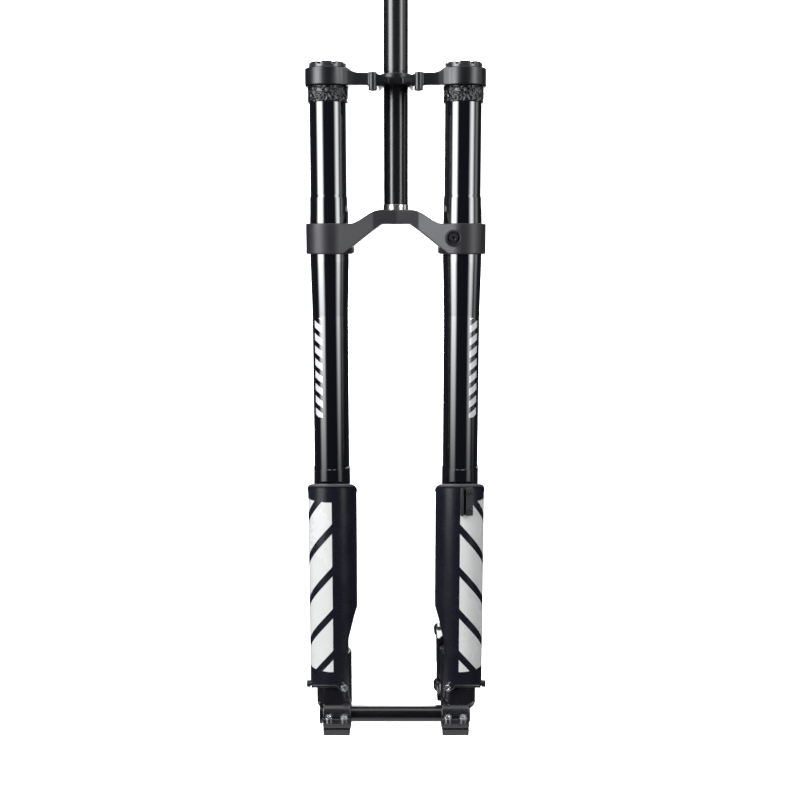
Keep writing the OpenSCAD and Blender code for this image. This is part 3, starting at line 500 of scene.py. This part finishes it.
# %% Gloss black tube with slanted bars
BAR_TOP, BAR_BOTTOM = -0.122, -0.238
BAR_PITCH = 14.5 * MM
BAR_SLANT = -11 * MM
BAR_START, BAR_END = 0.04, 0.64
BAR_NEAR, BAR_FAR = 0.42, 1.0
BAR_GREY = (0.42, 0.42, 0.43)
tube_black = Finish("gloss_black_tube", (0.0018, 0.0018, 0.003), 0.0, 0.06, 0.11, edge=0.4 * MM, dust=0.03)
tube_black.set("Coat Weight", 1.0)
tube_black.set("Coat Roughness", 0.055)
tube_place = tube_black.group(leg_place_group)
tube_angle, tube_height = tube_place.outputs["Angle"], tube_place.outputs["Height"]
bar_rise = tube_black.math("MULTIPLY_ADD", tube_angle, BAR_SLANT, tube_height)
bar_step = tube_black.math("FRACT", tube_black.math("DIVIDE", bar_rise, BAR_PITCH))
bars = tube_black.product(tube_black.between(bar_step, BAR_START, BAR_END, 0.04),
                          tube_black.between(tube_height, BAR_BOTTOM, BAR_TOP, 0.4 * MM),
                          tube_black.between(tube_angle, BAR_NEAR, BAR_FAR, 0.02))
tube_black.mix_color(bars, BAR_GREY)
ripple = tube_black.add("ShaderNodeTexNoise", Scale=55.0, Detail=2.0)
tube_black.bump(ripple.outputs["Fac"], 0.05, 0.0004)
wear(tube_black, "outer_tube_left", "outer_tube_right")

# %% [markdown]
# ## The steerer
# The steerer is satin anodised, so its stripes are softer and greyer than the tubes'. The crown race seat
# at its foot is machined bare after anodising, so it is bright metal with turning marks.

# %% Satin steerer with its bare seat
SEAT_TOP = 6.7 * MM
SEAT_EDGE = 0.2 * MM
BARE_METAL = (0.72, 0.70, 0.66)
steerer_black = Finish("satin_black_steerer", (0.005, 0.005, 0.0055), 0.0, 0.19, 0.25, edge=0.4 * MM,
                       dust=0.05)
steerer_height = steerer_black.group(leg_place_group).outputs["Height"]
seat = steerer_black.between(steerer_height, -SEAT_EDGE, SEAT_TOP + SEAT_EDGE, SEAT_EDGE)
steerer_black.mix_color(seat, BARE_METAL)
steerer_black.mix_value("Metallic", seat, 0.0, 1.0)
steerer_black.bump(steerer_black.group(turning_group, Pitch=9000.0).outputs["Height"], 0.04, 0.0001)
wear(steerer_black, "steerer_tube")

# %% [markdown]
# ## Forged parts
# The crowns and feet are forged and then blasted, so every edge is softly rounded. The frame's own shapes
# have sharp edges that a bevel cannot follow through all their blends. Here each one is rebuilt on a fine
# grid of equal cells and then relaxed a little, which rounds all edges alike and leaves the faces flat.

# %% Soften a forged piece


def soften(node, body, finish, cell=0.8 * MM, passes=5, keep=0.4):
    """A softly rounded stand-in for one of the frame's pieces."""
    source = nodes[node]
    piece = bpy.data.objects.new("forged_" + node, source.data.copy())
    scene.collection.objects.link(piece)
    grid = piece.modifiers.new("grid", "REMESH")
    grid.mode = "VOXEL"
    grid.voxel_size = cell
    relax = piece.modifiers.new("relax", "SMOOTH")
    relax.factor = 0.5
    relax.iterations = passes
    lighter = piece.modifiers.new("lighter", "DECIMATE")
    lighter.ratio = keep
    settled = bpy.data.meshes.new_from_object(piece.evaluated_get(bpy.context.evaluated_depsgraph_get()))
    piece.modifiers.clear()
    piece.data = settled
    piece.data.shade_smooth()
    piece.data.materials.clear()
    piece.data.materials.append(finish.material)
    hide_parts(node)
    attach(piece, body)
    print(piece.name, "faces:", len(settled.polygons))


# %% [markdown]
# ## The crowns
# Both crowns are bead-blasted and anodised. The blasting breaks reflections into a soft grey sheen, which
# needs a rough surface and a fine bump rather than a paler colour. The upper crown is the darker and
# smoother of the two.

# %% Blasted crowns
crown_black = Finish("blasted_black_crown", (0.0088, 0.0078, 0.0102), 0.0, 0.43, 0.50,
                     worn=(0.05, 0.05, 0.055), dust=0.25)
crown_black.set("Specular IOR Level", 0.33)
crown_black.grain(1500.0, 0.35, 0.00012)
wear(crown_black, "lower_crown")
soften("lower_crown", "chassis", crown_black)

top_crown_black = Finish("blasted_black_top_crown", (0.0028, 0.0028, 0.0042), 0.0, 0.31, 0.40,
                         worn=(0.04, 0.04, 0.045), dust=0.2)
top_crown_black.set("Specular IOR Level", 0.38)
top_crown_black.grain(1500.0, 0.3, 0.0001)
wear(top_crown_black, "upper_crown")
soften("upper_crown", "top_crown", top_crown_black)

# %% [markdown]
# ## The feet
# The feet carry the axle clamps and, on one side, the brake posts. They are forged like the crowns but
# painted semi-gloss, so they get the same softening with a smoother, shinier finish.

# %% Semi-gloss feet
foot_black = Finish("semi_gloss_foot", (0.005, 0.005, 0.0068), 0.0, 0.2, 0.3,
                    worn=(0.06, 0.06, 0.065), dust=0.2)
foot_black.grain(700.0, 0.12, 0.0001)
wear(foot_black, "foot_left", "foot_right")
soften("foot_left", "lowers", foot_black, cell=0.7 * MM, passes=4)
soften("foot_right", "lowers", foot_black, cell=0.7 * MM, passes=4)

# %% [markdown]
# ## The leg guards
# A guard is a moulded shell around the front of the inner leg. Its sheet is laid out here as a grid: across
# it runs the distance around the leg, and up it runs the height. The edges of the sheet give the guard its
# outline: a sloping top with round corners, an inner side that steps in, a sloping bottom and one low tab.

# %% Measure the guard
GUARD_R = 29 * MM
GUARD_WALL = 2.2 * MM
FACE_SINK = 0.8 * MM
GUARD_STRAIGHT = 6 * MM
RIM_STEP = 0.6 * MM
RIM_HEIGHT = 3 * MM
TOP_ROUND = 7 * MM
TOP_SLOPE, BOTTOM_SLOPE = 0.25, 0.47
STEP_TOP, STEP_BOTTOM = guard_high[2] - 160 * MM, guard_high[2] - 197 * MM
GUARD_BOTTOM = guard_high[2] - 252 * MM
STEP_X = 18.5 * MM
QUARTER = GUARD_R * math.pi / 2
FRONT_TAB, TAB_DROP = -GUARD_R * math.radians(25), 5.8 * MM
TAB_HALF_WIDTH = 6.4 * MM
LOWEST_DROP = 13.8 * MM
print("guard is", round((guard_high[2] - GUARD_BOTTOM) / MM), "mm tall without its tabs")

# %% Lay out the guard's sheet


def turn(value, start, end):
    """0 before start and 1 after end, with a smooth turn between them."""
    t = min(1.0, max(0.0, (value - start) / (end - start)))
    return t * t * (3 - 2 * t)


def inner_edge(z):
    """Where the inner edge of the sheet is at a height: the distance around the leg, negative inwards."""
    narrow = -GUARD_R * math.asin(STEP_X / GUARD_R)
    wide = -QUARTER - GUARD_STRAIGHT
    full_width_from = STEP_TOP + 4 * MM
    if z >= full_width_from:
        return wide
    if z <= STEP_BOTTOM:
        return narrow
    t = (z - STEP_BOTTOM) / (full_width_from - STEP_BOTTOM)
    x = STEP_X + (GUARD_R - STEP_X) * min(1.0, t * 1.06)
    reach = -GUARD_R * math.asin(min(1.0, x / GUARD_R))
    return reach + (wide + QUARTER) * turn(t, 0.72, 1.0)


def around(s, radius):
    """The point at a distance s around the guard: x outwards and y backwards from the leg's axis."""
    if abs(s) <= QUARTER:
        return radius * math.sin(s / GUARD_R), -radius * math.cos(s / GUARD_R)
    return math.copysign(radius, s), abs(s) - QUARTER


def bottom_drop(s):
    """How far the lower edge hangs: it slopes down towards the back, and a tab hangs at the front."""
    behind = around(s, GUARD_R)[1] + GUARD_R
    tab = TAB_DROP * math.exp(-((s - FRONT_TAB) / TAB_HALF_WIDTH) ** 6)
    return min(LOWEST_DROP, max(BOTTOM_SLOPE * behind, tab))


def top_drop(s):
    """How far the upper edge falls: it slopes down towards the back too, and its two corners are round."""
    side, back = around(s, GUARD_R)
    past = min(abs(side) - (GUARD_R - TOP_ROUND), TOP_ROUND * 0.99)
    corner = TOP_ROUND - math.sqrt(TOP_ROUND ** 2 - past ** 2) if past > 0 else 0
    return TOP_SLOPE * (back + GUARD_R) + corner


def guard_point(u, v):
    """A point of the guard's outer face: u runs from the inner to the outer edge, v from bottom to top."""
    z = GUARD_BOTTOM + v * (guard_high[2] - GUARD_BOTTOM)
    left, right = inner_edge(z), QUARTER + GUARD_STRAIGHT
    s = left + u * (right - left)
    z -= top_drop(s) * turn(v, 0.86, 1.0) + bottom_drop(s) * (1 - turn(v, 0.0, 0.12))
    below_top = guard_high[2] - top_drop(s) - z
    to_edge = min(s - left, right - s, z - GUARD_BOTTOM + bottom_drop(s))
    lift = RIM_STEP * (1 - turn(below_top, RIM_HEIGHT - 1.0 * MM, RIM_HEIGHT + 1.0 * MM))
    sink = FACE_SINK * (1 - turn(to_edge, 2.6 * MM, 3.8 * MM)) if lift == 0 else 0
    x, y = around(s, GUARD_R + lift - sink)
    return x, y, z


FINE_BOTTOM, FINE_TOP = 0.035, 0.93
columns = [i / 110 for i in range(111)]
rows = [FINE_BOTTOM * i / 12 for i in range(12)]
rows += [FINE_BOTTOM + (FINE_TOP - FINE_BOTTOM) * i / 80 for i in range(80)]
rows += [FINE_TOP + (1 - FINE_TOP) * i / 16 for i in range(17)]
sheet_points = [guard_point(u, v) for v in rows for u in columns]
print("sheet:", len(columns), "by", len(rows), "points")

# %% Make a guard from the sheet


def make_guard(name, node, side, finish):
    """side is +1 for the left leg and -1 for the right, which is its mirror image."""
    wide = len(columns)
    verts = [(side * (leg_x + x), leg_y + y, z) for x, y, z in sheet_points]
    faces = [(j * wide + i, j * wide + i + 1, (j + 1) * wide + i + 1, (j + 1) * wide + i)
             for j in range(len(rows) - 1) for i in range(wide - 1)]
    if side < 0:
        faces = [face[::-1] for face in faces]
    guard = make_mesh(name, verts, faces, smooth=True)
    shell = guard.modifiers.new("shell", "SOLIDIFY")
    shell.thickness = GUARD_WALL - FACE_SINK
    shell.offset = -1
    lips = guard.modifiers.new("lips", "BEVEL")
    lips.width = 0.4 * MM
    lips.segments = 2
    lips.limit_method = "ANGLE"
    lips.angle_limit = math.radians(50)
    moulded = bpy.data.meshes.new_from_object(guard.evaluated_get(bpy.context.evaluated_depsgraph_get()))
    guard.modifiers.clear()
    guard.data = moulded
    guard.data.shade_smooth()
    guard.data.materials.append(finish.material)
    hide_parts(node)
    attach(guard, "lowers")
    print(name, "faces:", len(moulded.polygons))


# %% [markdown]
# ## The guards' finish
# The guards are moulded plastic with a soft gloss. Broad slanted pale bands decorate the outer half of each,
# the plain kind of decal that many off-road parts carry. A mask in the material paints them, and a second
# mask makes the rim along the top edge greyer and rougher than the rest.

# %% Guard plastic with slanted pale bands and a grey rim
BAND_PITCH = 0.052
BAND_SLANT = 1.15
BAND_SHARE = 0.787
BANDS_TOP, BANDS_BOTTOM = guard_high[2] - 22 * MM, GUARD_BOTTOM + 20 * MM
BAND_PAINT = (0.44, 0.44, 0.43)
RIM_GREY = (0.05, 0.05, 0.052)
guard_black = Finish("gloss_black_guard", (0.0045, 0.0045, 0.0085), 0.0, 0.24, 0.34, edge=0.4 * MM,
                     worn=(0.035, 0.035, 0.04), dust=0.06)
guard_place = guard_black.group(leg_place_group)
guard_angle, guard_height = guard_place.outputs["Angle"], guard_place.outputs["Height"]
across = guard_black.math("MULTIPLY", guard_angle, GUARD_R)
band_rise = guard_black.math("MULTIPLY_ADD", across, BAND_SLANT, guard_height)
band_step = guard_black.math("FRACT", guard_black.math("DIVIDE", band_rise, BAND_PITCH))
bands = guard_black.product(guard_black.between(band_step, 0.0, BAND_SHARE, 0.012),
                            guard_black.range(across, -1.2 * MM, -0.6 * MM),
                            guard_black.between(guard_height, BANDS_BOTTOM, BANDS_TOP, 0.6 * MM),
                            guard_black.before(guard_angle, 1.40, 1.42))
guard_black.mix_color(bands, BAND_PAINT)
behind = guard_black.math("SUBTRACT", GUARD_R, guard_place.outputs["Forward"])
level_height = guard_black.math("MULTIPLY_ADD", behind, TOP_SLOPE, guard_height)
rim_start = guard_high[2] - RIM_HEIGHT
rim = guard_black.range(level_height, rim_start - 0.2 * MM, rim_start + 0.2 * MM)
guard_black.mix_color(rim, RIM_GREY)
guard_black.mix_value("Roughness", rim, guard_black.roughness, 0.45)
guard_black.grain(500.0, 0.06, 0.0001)
make_guard("moulded_guard_left", "leg_guard_left", 1, guard_black)
make_guard("moulded_guard_right", "leg_guard_right", -1, guard_black)

# %% [markdown]
# ## The frame bumpers
# Each bumper is a band of rough rubber that a frame's tube may hit at full lock. Its outside is a crumpled
# relief, deep enough to show in its outline, so it is modelled as a ring of points that are pressed inwards
# by ridged noise, never further out than the plain ring.

# %% The crumpled surface of the rubber
BUMPER_R = (bumper_high[0] - bumper_low[0]) / 2
BUMPER_INNER = BUMPER_R - 1.9 * MM
RELIEF_DEPTH = 1.5 * MM
RELIEF_SCALE = 250
RIDGE_SHARPNESS = 3.2
RIDGE_SHIFT = Vector((3.1, 7.7, 1.3))


def relief(x, y, z):
    """How deep the crumpled surface is pressed in at a point, from 0 to 1."""
    spot = Vector((x, y, z)) * RELIEF_SCALE
    ridges = 1 - abs(noise.noise(spot + RIDGE_SHIFT)) * RIDGE_SHARPNESS
    lumps = noise.noise(spot * 0.6) * 0.5 + 0.5
    return min(1.0, max(0.0, 1 - 0.75 * ridges - 0.25 * lumps))


print("bumper radius in mm:", round(BUMPER_R / MM, 1))

# %% Make the two rubber rings
AROUND_COUNT, UP_COUNT = 220, 34
SKIN = 0.1 * MM
LIP_ROUND, LIP_HEIGHT = 0.9 * MM, 1.4 * MM


def make_bumper(name, node, side, finish):
    """side is +1 for the left leg and -1 for the right."""
    low, high = bumper_low[2], bumper_high[2]
    verts, faces = [], []
    for i in range(AROUND_COUNT):
        a = 2 * math.pi * i / AROUND_COUNT
        ca, sa = math.cos(a), math.sin(a)
        for k in range(UP_COUNT):
            t = k / (UP_COUNT - 1)
            z = low + t * (high - low)
            to_lip = min(t, 1 - t) * (high - low)
            rounding = LIP_ROUND * (1 - min(1.0, to_lip / LIP_HEIGHT)) ** 2
            depth = RELIEF_DEPTH * relief(ca * BUMPER_R, sa * BUMPER_R, z) * turn(1 - t, 0.03, 0.16)
            r = BUMPER_R - SKIN - rounding - depth
            verts.append((side * leg_x + r * ca, leg_y + r * sa, z))
        verts.append((side * leg_x + BUMPER_INNER * ca, leg_y + BUMPER_INNER * sa, high))
        verts.append((side * leg_x + BUMPER_INNER * ca, leg_y + BUMPER_INNER * sa, low))
    ring = UP_COUNT + 2
    for i in range(AROUND_COUNT):
        j = (i + 1) % AROUND_COUNT
        for k in range(ring):
            n = (k + 1) % ring
            faces.append((i * ring + k, j * ring + k, j * ring + n, i * ring + n))
    bumper = make_mesh(name, verts, faces, smooth=True)
    bumper.data.materials.append(finish.material)
    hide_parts(node)
    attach(bumper, "chassis")
    print(name, "faces:", len(faces))


bumper_rubber = Finish("crumpled_rubber", (0.0022, 0.0022, 0.003), 0.0, 0.27, 0.40,
                       worn=(0.02, 0.02, 0.022), dust=0.06)
bumper_rubber.set("Specular IOR Level", 0.36)
bumper_rubber.grain(1100.0, 0.3, 0.00015)
make_bumper("rubber_bumper_left", "frame_bumper_left", 1, bumper_rubber)
make_bumper("rubber_bumper_right", "frame_bumper_right", -1, bumper_rubber)

# %% [markdown]
# ## Caps, axle and small parts
# What is left keeps the frame's own shape, because it was turned or moulded to just that shape. Turned parts
# get turning marks, seals get rubber, bump stops get a soft elastomer, and screws get plated or blackened
# steel.

# %% Turned black caps and axle
cap_black = Finish("satin_black_cap", (0.014, 0.014, 0.016), 0.0, 0.2, 0.32,
                   worn=(0.35, 0.35, 0.36), dust=0.25)
cap_black.bump(cap_black.group(turning_group, Pitch=6500.0).outputs["Height"], 0.08, 0.0001)
wear(cap_black, "air_top_cap", "damper_top_cap", "valve_cap")

axle_black = Finish("satin_black_axle", (0.003, 0.003, 0.0038), 0.0, 0.13, 0.22,
                    worn=(0.10, 0.10, 0.10), dust=0.15)
axle_spot = axle_black.add("ShaderNodeTexCoord").outputs["Object"]
axle_stretch = axle_black.add("ShaderNodeMapping", Vector=axle_spot)
axle_stretch.inputs["Scale"].default_value = (2400, 20, 20)
axle_rings = axle_black.add("ShaderNodeTexNoise", Vector=axle_stretch.outputs["Vector"], Detail=2.0)
axle_black.bump(axle_rings.outputs["Fac"], 0.1, 0.00008)
wear(axle_black, "axle")

# %% Moulded black hose clip
clip_plastic = Finish("moulded_black_clip", (0.016, 0.016, 0.018), 0.0, 0.36, 0.5,
                      worn=(0.05, 0.05, 0.05), dust=0.3)
clip_plastic.grain(1300.0, 0.25, 0.0001)
wear(clip_plastic, "hose_clip")

# %% Plated and blackened screws
plated = Finish("plated_steel_bolt", (0.62, 0.62, 0.64), 1.0, 0.18, 0.34, worn=(0.8, 0.8, 0.8), dust=0.2)
outer_bolts = plated.range(plated.group(leg_place_group).outputs["Outward"], 0.020, 0.021)
plated.mix_color(outer_bolts, (0.03, 0.03, 0.032))
plated.mix_value("Metallic", outer_bolts, 1.0, 0.4)
wear(plated, "axle_pinch_bolts", "guard_bolts", "lower_crown_bolts", "upper_crown_bolts")

blackened = Finish("blackened_steel_screw", (0.02, 0.02, 0.022), 0.6, 0.24, 0.4,
                   worn=(0.25, 0.25, 0.25), dust=0.2)
wear(blackened, "hose_guide_screw", "hose_clip_screws")

# %% Rubber lips, seals and bump stops
seal_rubber = Finish("black_seal_rubber", (0.015, 0.015, 0.016), 0.0, 0.4, 0.55, dust=0.2)
seal_rubber.grain(1600.0, 0.2, 0.00008)
wear(seal_rubber, "dust_wiper_left", "dust_wiper_right", "oil_seal_left", "oil_seal_right", "air_piston_seal",
     "damper_piston_ring")

elastomer = Finish("amber_elastomer", (0.42, 0.24, 0.04), 0.0, 0.3, 0.45, dust=0.1)
elastomer.set("Subsurface Weight", 0.2)
elastomer.grain(600.0, 0.1, 0.0001)
wear(elastomer, "bottom_out_bumper", "air_top_out_bumper", "rebound_bumper")

# %% Polished inner legs
leg_polish = Finish("polished_inner_leg", (0.45, 0.44, 0.42), 1.0, 0.08, 0.16,
                    worn=(0.7, 0.7, 0.7), dust=0.08)
leg_polish.bump(leg_polish.group(turning_group, Pitch=12000.0).outputs["Height"], 0.03, 0.00005)
wear(leg_polish, "inner_leg_left", "inner_leg_right")

# %% Bare aluminium of the inner parts
bare_aluminium = Finish("turned_aluminium", (0.72, 0.72, 0.73), 1.0, 0.22, 0.36,
                        worn=(0.9, 0.9, 0.9), dust=0.05)
bare_aluminium.bump(bare_aluminium.group(turning_group, Pitch=7000.0).outputs["Height"], 0.1, 0.0001)
wear(bare_aluminium, "air_piston", "air_seal_head", "compression_valve", "damper_piston", "damper_seal_head",
     "damper_tube", "leg_plug_left", "leg_plug_right")

steel = Finish("ground_steel_rod", (0.6, 0.6, 0.61), 1.0, 0.1, 0.2, dust=0.03)
wear(steel, "air_rod", "damper_rod", "rebound_rod", "seal_clip_left", "seal_clip_right")

brass = Finish("brass_valve", (0.72, 0.52, 0.25), 1.0, 0.2, 0.34, dust=0.1)
wear(brass, "air_valve")

# %% Slippery liners
liner = Finish("bronze_filled_liner", (0.16, 0.11, 0.06), 0.2, 0.35, 0.5, dust=0.05)
liner.grain(900.0, 0.15, 0.0001)
wear(liner, "upper_bushing_left", "upper_bushing_right", "lower_bushing_left", "lower_bushing_right")

# %% Coloured dials
dial_blue = Finish("blue_anodised_dial", (0.01, 0.08, 0.32), 0.8, 0.2, 0.32, worn=(0.6, 0.6, 0.62), dust=0.2)
dial_blue.bump(dial_blue.group(turning_group, Pitch=6500.0).outputs["Height"], 0.06, 0.0001)
wear(dial_blue, "low_speed_dial")

dial_red = Finish("red_anodised_knob", (0.35, 0.012, 0.012), 0.8, 0.2, 0.32, worn=(0.6, 0.6, 0.62), dust=0.2)
wear(dial_red, "rebound_knob", "high_speed_dial")
